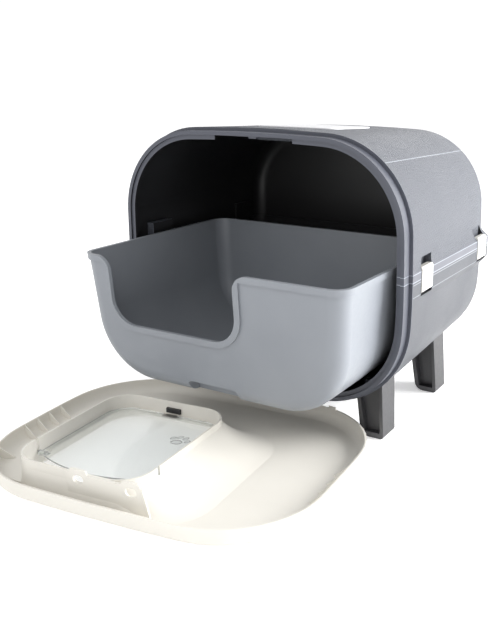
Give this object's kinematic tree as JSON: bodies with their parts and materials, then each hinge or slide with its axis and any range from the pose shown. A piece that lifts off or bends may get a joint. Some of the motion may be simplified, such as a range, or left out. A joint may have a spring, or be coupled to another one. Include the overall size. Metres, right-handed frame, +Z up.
{
  "type": "hooded litter box",
  "caption": "Hooded litter box with a drawn-out tray, latched hood, filter lid and a loose front cover with a clear entry flap.",
  "frame": {"origin": "centre of the underside of the whole object's box, on the floor", "axes": "+X towards the box's right side seen from its open front, +Y from the open front to the rear, +Z up"},
  "size_m": [0.5594, 0.7746, 0.479],
  "materials": {
    "dark_shell": "dark blue-grey moulded plastic, fine texture",
    "grey_hood": "grey moulded plastic with a fine woven texture",
    "grey_tray": "mid grey moulded plastic, smooth satin",
    "cream_cover": "off-white moulded plastic, smooth satin",
    "clear_flap": "clear plastic sheet",
    "black_magnet": "black ferrite",
    "steel": "plain steel",
    "white_lid": "off-white moulded plastic",
    "white_latch": "off-white moulded plastic",
    "charcoal": "black activated charcoal felt",
    "black_leg": "black moulded plastic"
  },
  "bodies": {
    "base": {"base_shell": "dark_shell", "latch_pins": "steel", "leg_screws": "steel", "front_right_leg": "black_leg", "front_left_leg": "black_leg", "rear_right_leg": "black_leg", "rear_left_leg": "black_leg"},
    "hood": {"hood": "grey_hood", "charcoal_filter": "charcoal"},
    "filter_lid": {"filter_lid": "white_lid"},
    "tray": {"tray": "grey_tray"},
    "cover": {"front_cover": "cream_cover", "flap_magnet": "black_magnet"},
    "flap": {"entry_flap": "clear_flap", "flap_hinge_pins": "clear_flap", "flap_strike_plate": "steel"},
    "front_right_latch": {"front_right_latch": "white_latch"},
    "front_left_latch": {"front_left_latch": "white_latch"},
    "rear_right_latch": {"rear_right_latch": "white_latch"},
    "rear_left_latch": {"rear_left_latch": "white_latch"}
  },
  "joints": [
    {"name": "tray_slide", "type": "slide", "parent": "base", "child": "tray", "axis": [0, 1, 0], "range_m": [-0.22, 0.142]},
    {"name": "cover_slide", "type": "slide", "parent": "base", "child": "cover", "axis": [0, -1, 0], "range_m": [0, 0.3]},
    {"name": "flap_swing", "type": "hinge", "parent": "cover", "child": "flap", "pos_m": [-0.06019, -0.30093, 0.02875], "axis": [0.9954, 0.0958, 0], "range_deg": [0, 15]},
    {"name": "hood_lift", "type": "slide", "parent": "base", "child": "hood", "axis": [0, 0, 1], "range_m": [0, 0.06]},
    {"name": "filter_lid_lift", "type": "slide", "parent": "hood", "child": "filter_lid", "axis": [0, 0.0411, 0.9992], "range_m": [0, 0.06]},
    {"name": "front_right_latch_hinge", "type": "hinge", "parent": "base", "child": "front_right_latch", "pos_m": [0.27616, 0.07026, 0.2485], "axis": [0, 1, 0], "range_deg": [0, 96.8]},
    {"name": "front_left_latch_hinge", "type": "hinge", "parent": "base", "child": "front_left_latch", "pos_m": [-0.24874, 0.07026, 0.2485], "axis": [0, -1, 0], "range_deg": [0, 96.8]},
    {"name": "rear_right_latch_hinge", "type": "hinge", "parent": "base", "child": "rear_right_latch", "pos_m": [0.27616, 0.32326, 0.2485], "axis": [0, 1, 0], "range_deg": [0, 96.8]},
    {"name": "rear_left_latch_hinge", "type": "hinge", "parent": "base", "child": "rear_left_latch", "pos_m": [-0.24874, 0.32326, 0.2485], "axis": [0, -1, 0], "range_deg": [0, 96.8]}
  ],
  "couplings": [
    {"joint": "front_right_latch_hinge", "follows": "hood_lift", "rad_per_m": 28},
    {"joint": "front_left_latch_hinge", "follows": "hood_lift", "rad_per_m": 28},
    {"joint": "rear_right_latch_hinge", "follows": "hood_lift", "rad_per_m": 28},
    {"joint": "rear_left_latch_hinge", "follows": "hood_lift", "rad_per_m": 28}
  ]
}
